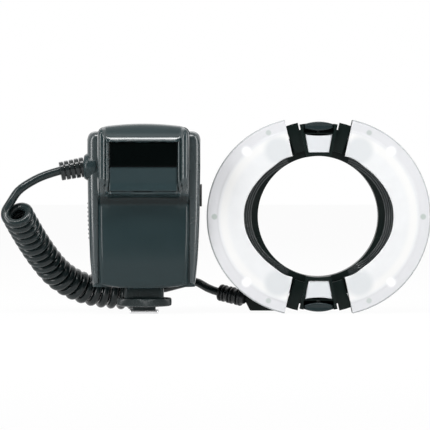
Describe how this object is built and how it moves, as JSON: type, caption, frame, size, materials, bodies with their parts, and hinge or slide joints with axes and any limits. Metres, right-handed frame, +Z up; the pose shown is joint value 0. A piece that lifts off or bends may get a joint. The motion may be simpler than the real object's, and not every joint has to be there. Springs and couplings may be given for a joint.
{
  "type": "macro ring flash",
  "caption": "Macro ring flash: shoe-mounted control unit with hooded window, curly cord, and a ring head whose two frosted lamp halves draw apart",
  "frame": {"origin": "centre of the shoe foot's bottom face", "axes": "+X from the control unit to the ring head, fronts face -Y, +Z up"},
  "size_m": [0.2749, 0.0831, 0.1255],
  "materials": {
    "case_plastic": "finely textured dark grey moulded plastic",
    "gloss_black": "glossy black window",
    "satin_panel": "satin dark panel",
    "display_pane": "tinted clear pane",
    "display": "display panel",
    "key_plastic": "dark moulded keys",
    "rubber": "black flexible rubber",
    "cord_jacket": "dark grey satin cord jacket",
    "steel": "plain steel",
    "shoe_metal": "milled silver metal",
    "contact_gold": "plated contacts",
    "cell_wrap": "plain cell wrapping",
    "board": "printed circuit board",
    "capacitor": "sleeved capacitor can",
    "winding": "transformer core and frame",
    "sheet": "thin switch sheet",
    "ring_plastic": "black moulded plastic",
    "diffuser": "frosted translucent white",
    "housing": "light grey moulded plastic",
    "reflector": "bright reflector",
    "tube_glass": "clear quartz tube",
    "lamp_window": "clear ribbed lamp window",
    "lamp": "lamp and its board"
  },
  "bodies": {
    "root": {"battery_cells": "cell_wrap", "battery_contacts": "contact_gold", "battery_magazine": "ring_plastic", "bottom_lamp_window": "lamp_window", "bottom_modelling_lamp": "lamp", "bottom_release_spring": "steel", "bottom_slide_rod": "steel", "case_screws": "steel", "circuit_board": "board", "cord_boss": "case_plastic", "cord_curls": "cord_jacket", "cord_lead_lower": "cord_jacket", "cord_lead_upper": "cord_jacket", "display_module": "display", "display_window": "display_pane", "door_hinge_pin": "steel", "front_cover": "case_plastic", "front_panel": "satin_panel", "keypad_membrane": "sheet", "main_capacitor": "capacitor", "main_case": "case_plastic", "rear_cover": "case_plastic", "ring_cable_boss": "ring_plastic", "ring_frame": "ring_plastic", "ring_rear_plate": "ring_plastic", "ring_screws": "steel", "ring_strain_relief": "rubber", "sensor_board": "board", "sensor_window": "gloss_black", "shoe_contacts": "contact_gold", "shoe_neck": "case_plastic", "shoe_plate": "shoe_metal", "side_sockets": "ring_plastic", "top_lamp_window": "lamp_window", "top_modelling_lamp": "lamp", "top_release_spring": "steel", "top_slide_rod": "steel", "transformer": "winding", "unit_strain_relief": "rubber"},
    "left_half": {"left_lamp_housing": "housing", "left_diffuser": "diffuser", "left_reflector": "reflector", "left_flash_tube": "tube_glass"},
    "right_half": {"right_lamp_housing": "housing", "right_diffuser": "diffuser", "right_reflector": "reflector", "right_flash_tube": "tube_glass"},
    "top_release": {"top_release_button": "ring_plastic"},
    "bottom_release": {"bottom_release_button": "ring_plastic"},
    "lock_wheel": {"lock_wheel": "case_plastic"},
    "lock_pin": {"lock_pin": "steel"},
    "battery_door": {"battery_door": "case_plastic"},
    "socket_cover": {"socket_cover": "rubber"},
    "key_up": {"key_up": "key_plastic"},
    "key_down": {"key_down": "key_plastic"},
    "key_left": {"key_left": "key_plastic"},
    "key_right": {"key_right": "key_plastic"},
    "set_key": {"set_key": "key_plastic"},
    "power_key": {"power_key": "key_plastic"},
    "test_key": {"test_key": "key_plastic"}
  },
  "joints": [
    {"name": "left_half_slide", "type": "slide", "parent": "root", "child": "left_half", "axis": [1, 0, 0], "range_m": [0, 0.0084]},
    {"name": "right_half_slide", "type": "slide", "parent": "root", "child": "right_half", "axis": [-1, 0, 0], "range_m": [0, 0.0084]},
    {"name": "top_release_press", "type": "slide", "parent": "root", "child": "top_release", "axis": [0, 0, -1], "range_m": [0, 0.0011], "stiffness_N_per_m": 900, "deforming": ["top_release_spring"]},
    {"name": "bottom_release_press", "type": "slide", "parent": "root", "child": "bottom_release", "axis": [0, 0, 1], "range_m": [0, 0.0011], "stiffness_N_per_m": 900, "deforming": ["bottom_release_spring"]},
    {"name": "lock_wheel_turn", "type": "hinge", "parent": "root", "child": "lock_wheel", "pos_m": [0, 0, 0.0068], "axis": [0, 0, 1], "range_deg": [0, 100]},
    {"name": "lock_pin_drop", "type": "slide", "parent": "root", "child": "lock_pin", "axis": [0, 0, -1], "range_m": [0, 0.0013]},
    {"name": "battery_door_hinge", "type": "hinge", "parent": "root", "child": "battery_door", "pos_m": [-0.0352, 0, 0.0771], "axis": [0, 1, 0], "range_deg": [0, 90]},
    {"name": "socket_cover_bend", "type": "hinge", "parent": "root", "child": "socket_cover", "pos_m": [0.0365, 0.0215, 0.0763], "axis": [0, 0, 1], "range_deg": [0, 110]},
    {"name": "key_up_press", "type": "slide", "parent": "root", "child": "key_up", "axis": [0, -1, 0], "range_m": [0, 0.0006], "stiffness_N_per_m": 700},
    {"name": "key_down_press", "type": "slide", "parent": "root", "child": "key_down", "axis": [0, -1, 0], "range_m": [0, 0.0006], "stiffness_N_per_m": 700},
    {"name": "key_left_press", "type": "slide", "parent": "root", "child": "key_left", "axis": [0, -1, 0], "range_m": [0, 0.0006], "stiffness_N_per_m": 700},
    {"name": "key_right_press", "type": "slide", "parent": "root", "child": "key_right", "axis": [0, -1, 0], "range_m": [0, 0.0006], "stiffness_N_per_m": 700},
    {"name": "set_key_press", "type": "slide", "parent": "root", "child": "set_key", "axis": [0, -1, 0], "range_m": [0, 0.0006], "stiffness_N_per_m": 700},
    {"name": "power_key_press", "type": "slide", "parent": "root", "child": "power_key", "axis": [0, -1, 0], "range_m": [0, 0.0006], "stiffness_N_per_m": 700},
    {"name": "test_key_press", "type": "slide", "parent": "root", "child": "test_key", "axis": [0, -1, 0], "range_m": [0, 0.0006], "stiffness_N_per_m": 700}
  ],
  "couplings": [
    {"joint": "lock_pin_drop", "follows": "lock_wheel_turn", "m_per_rad": 0.00074}
  ]
}
